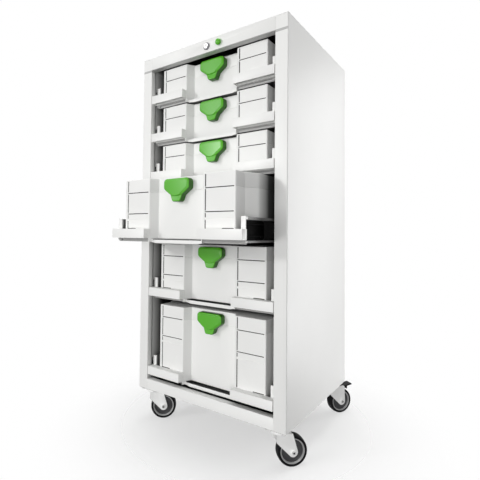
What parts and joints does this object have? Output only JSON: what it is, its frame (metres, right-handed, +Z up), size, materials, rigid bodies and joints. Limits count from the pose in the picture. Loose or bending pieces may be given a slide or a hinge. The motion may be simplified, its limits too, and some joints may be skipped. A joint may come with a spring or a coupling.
{
  "type": "tool case storage cabinet",
  "caption": "White steel cabinet on swivel casters with pull-out trays that each carry a tool case closed by a green turning latch.",
  "frame": {"origin": "on the floor, under the middle of the body's plan", "axes": "+X to the right seen from the front, the front faces -Y, +Z up"},
  "size_m": [0.5114, 0.5944, 1.095],
  "materials": {
    "white_coat": "satin",
    "white_plastic": "matte",
    "green_plastic": "satin",
    "slide_steel": "satin",
    "zinc": "satin",
    "chrome": "polished",
    "grey_plastic": "satin",
    "black_plastic": "satin",
    "rubber": "matte"
  },
  "bodies": {
    "cabinet": {"side_panels": "white_coat", "top_panel": "white_coat", "base_panel": "white_coat", "back_panel": "white_coat", "slide_uprights": "white_coat", "outer_rails": "slide_steel", "caster_mountings": "zinc", "lock_housing": "chrome"},
    "lock_barrel": {"lock_barrel": "zinc"},
    "release_button": {"release_button": "green_plastic"},
    "drawer_1": {"tray_1": "white_coat", "inner_rails_1": "slide_steel", "case_body_1": "white_plastic", "case_lid_1": "white_plastic"},
    "middle_rails_1": {"middle_rails_1": "slide_steel"},
    "latch_1": {"latch_1": "green_plastic"},
    "drawer_2": {"tray_2": "white_coat", "inner_rails_2": "slide_steel", "case_body_2": "white_plastic", "case_lid_2": "white_plastic"},
    "middle_rails_2": {"middle_rails_2": "slide_steel"},
    "latch_2": {"latch_2": "green_plastic"},
    "drawer_3": {"tray_3": "white_coat", "inner_rails_3": "slide_steel", "case_body_3": "white_plastic", "case_lid_3": "white_plastic"},
    "middle_rails_3": {"middle_rails_3": "slide_steel"},
    "latch_3": {"latch_3": "green_plastic"},
    "drawer_4": {"tray_4": "white_coat", "inner_rails_4": "slide_steel", "case_body_4": "white_plastic", "case_lid_4": "white_plastic"},
    "middle_rails_4": {"middle_rails_4": "slide_steel"},
    "latch_4": {"latch_4": "green_plastic"},
    "drawer_5": {"tray_5": "white_coat", "inner_rails_5": "slide_steel", "case_body_5": "white_plastic", "case_lid_5": "white_plastic"},
    "middle_rails_5": {"middle_rails_5": "slide_steel"},
    "latch_5": {"latch_5": "green_plastic"},
    "drawer_6": {"tray_6": "white_coat", "inner_rails_6": "slide_steel", "case_body_6": "white_plastic", "case_lid_6": "white_plastic"},
    "middle_rails_6": {"middle_rails_6": "slide_steel"},
    "latch_6": {"latch_6": "green_plastic"},
    "fork_front_left": {"caster_fork_front_left": "white_coat"},
    "wheel_front_left": {"caster_rim_front_left": "grey_plastic", "caster_tyre_front_left": "rubber"},
    "fork_front_right": {"caster_fork_front_right": "white_coat"},
    "wheel_front_right": {"caster_rim_front_right": "grey_plastic", "caster_tyre_front_right": "rubber"},
    "fork_rear_left": {"caster_fork_rear_left": "white_coat"},
    "wheel_rear_left": {"caster_rim_rear_left": "grey_plastic", "caster_tyre_rear_left": "rubber"},
    "brake_rear_left": {"brake_lever_rear_left": "black_plastic"},
    "fork_rear_right": {"caster_fork_rear_right": "white_coat"},
    "wheel_rear_right": {"caster_rim_rear_right": "grey_plastic", "caster_tyre_rear_right": "rubber"},
    "brake_rear_right": {"brake_lever_rear_right": "black_plastic"}
  },
  "joints": [
    {"name": "lock_turn", "type": "hinge", "parent": "cabinet", "child": "lock_barrel", "pos_m": [0, -0.211, 1.076], "axis": [0, -1, 0], "range_deg": [0, 90]},
    {"name": "button_press", "type": "slide", "parent": "cabinet", "child": "release_button", "axis": [0, 1, 0], "range_m": [0, 0.003], "stiffness_N_per_m": 300},
    {"name": "drawer_1_slide", "type": "slide", "parent": "cabinet", "child": "drawer_1", "axis": [0, -1, 0], "range_m": [0, 0.35]},
    {"name": "middle_1_slide", "type": "slide", "parent": "cabinet", "child": "middle_rails_1", "axis": [0, -1, 0], "range_m": [0, 0.175]},
    {"name": "latch_1_turn", "type": "hinge", "parent": "drawer_1", "child": "latch_1", "pos_m": [0, -0.181, 1.0235], "axis": [0, 1, 0], "range_deg": [-90, 90]},
    {"name": "drawer_2_slide", "type": "slide", "parent": "cabinet", "child": "drawer_2", "axis": [0, -1, 0], "range_m": [0, 0.35]},
    {"name": "middle_2_slide", "type": "slide", "parent": "cabinet", "child": "middle_rails_2", "axis": [0, -1, 0], "range_m": [0, 0.175]},
    {"name": "latch_2_turn", "type": "hinge", "parent": "drawer_2", "child": "latch_2", "pos_m": [0, -0.181, 0.9075], "axis": [0, 1, 0], "range_deg": [-10, 10]},
    {"name": "drawer_3_slide", "type": "slide", "parent": "cabinet", "child": "drawer_3", "axis": [0, -1, 0], "range_m": [0, 0.35]},
    {"name": "middle_3_slide", "type": "slide", "parent": "cabinet", "child": "middle_rails_3", "axis": [0, -1, 0], "range_m": [0, 0.175]},
    {"name": "latch_3_turn", "type": "hinge", "parent": "drawer_3", "child": "latch_3", "pos_m": [0, -0.181, 0.7915], "axis": [0, 1, 0], "range_deg": [-10, 10]},
    {"name": "drawer_4_slide", "type": "slide", "parent": "cabinet", "child": "drawer_4", "axis": [0, -1, 0], "range_m": [-0.142, 0.208]},
    {"name": "middle_4_slide", "type": "slide", "parent": "cabinet", "child": "middle_rails_4", "axis": [0, -1, 0], "range_m": [-0.071, 0.104]},
    {"name": "latch_4_turn", "type": "hinge", "parent": "drawer_4", "child": "latch_4", "pos_m": [0, -0.323, 0.67], "axis": [0, 1, 0], "range_deg": [-23, 23]},
    {"name": "drawer_5_slide", "type": "slide", "parent": "cabinet", "child": "drawer_5", "axis": [0, -1, 0], "range_m": [0, 0.35]},
    {"name": "middle_5_slide", "type": "slide", "parent": "cabinet", "child": "middle_rails_5", "axis": [0, -1, 0], "range_m": [0, 0.175]},
    {"name": "latch_5_turn", "type": "hinge", "parent": "drawer_5", "child": "latch_5", "pos_m": [0, -0.181, 0.496], "axis": [0, 1, 0], "range_deg": [-23, 23]},
    {"name": "drawer_6_slide", "type": "slide", "parent": "cabinet", "child": "drawer_6", "axis": [0, -1, 0], "range_m": [0, 0.35]},
    {"name": "middle_6_slide", "type": "slide", "parent": "cabinet", "child": "middle_rails_6", "axis": [0, -1, 0], "range_m": [0, 0.175]},
    {"name": "latch_6_turn", "type": "hinge", "parent": "drawer_6", "child": "latch_6", "pos_m": [0, -0.181, 0.3145], "axis": [0, 1, 0], "range_deg": [-54, 54]},
    {"name": "swivel_front_left", "type": "hinge", "parent": "cabinet", "child": "fork_front_left", "pos_m": [-0.212, -0.178, 0.088], "axis": [0, 0, 1], "continuous": true},
    {"name": "wheel_front_left_spin", "type": "hinge", "parent": "fork_front_left", "child": "wheel_front_left", "pos_m": [-0.18979, -0.15936, 0.0375], "axis": [-0.6428, 0.766, 0], "continuous": true},
    {"name": "swivel_front_right", "type": "hinge", "parent": "cabinet", "child": "fork_front_right", "pos_m": [0.212, -0.178, 0.088], "axis": [0, 0, 1], "continuous": true},
    {"name": "wheel_front_right_spin", "type": "hinge", "parent": "fork_front_right", "child": "wheel_front_right", "pos_m": [0.23251, -0.15749, 0.0375], "axis": [-0.7071, 0.7071, 0], "continuous": true},
    {"name": "swivel_rear_left", "type": "hinge", "parent": "cabinet", "child": "fork_rear_left", "pos_m": [-0.212, 0.178, 0.088], "axis": [0, 0, 1], "continuous": true},
    {"name": "wheel_rear_left_spin", "type": "hinge", "parent": "fork_rear_left", "child": "wheel_rear_left", "pos_m": [-0.18824, 0.19463, 0.0375], "axis": [-0.5736, 0.8192, 0], "continuous": true},
    {"name": "brake_rear_left_press", "type": "hinge", "parent": "fork_rear_left", "child": "brake_rear_left", "pos_m": [-0.18497, 0.19693, 0.0794], "axis": [-0.5736, 0.8192, 0], "range_deg": [0, 8]},
    {"name": "swivel_rear_right", "type": "hinge", "parent": "cabinet", "child": "fork_rear_right", "pos_m": [0.212, 0.178, 0.088], "axis": [0, 0, 1], "continuous": true},
    {"name": "wheel_rear_right_spin", "type": "hinge", "parent": "fork_rear_right", "child": "wheel_rear_right", "pos_m": [0.22863, 0.20175, 0.0375], "axis": [-0.8192, 0.5736, 0], "continuous": true},
    {"name": "brake_rear_right_press", "type": "hinge", "parent": "fork_rear_right", "child": "brake_rear_right", "pos_m": [0.23093, 0.20503, 0.0794], "axis": [-0.8192, 0.5736, 0], "range_deg": [0, 8]}
  ],
  "couplings": [
    {"joint": "middle_1_slide", "follows": "drawer_1_slide", "ratio": 0.5},
    {"joint": "middle_2_slide", "follows": "drawer_2_slide", "ratio": 0.5},
    {"joint": "middle_3_slide", "follows": "drawer_3_slide", "ratio": 0.5},
    {"joint": "middle_4_slide", "follows": "drawer_4_slide", "ratio": 0.5},
    {"joint": "middle_5_slide", "follows": "drawer_5_slide", "ratio": 0.5},
    {"joint": "middle_6_slide", "follows": "drawer_6_slide", "ratio": 0.5}
  ]
}
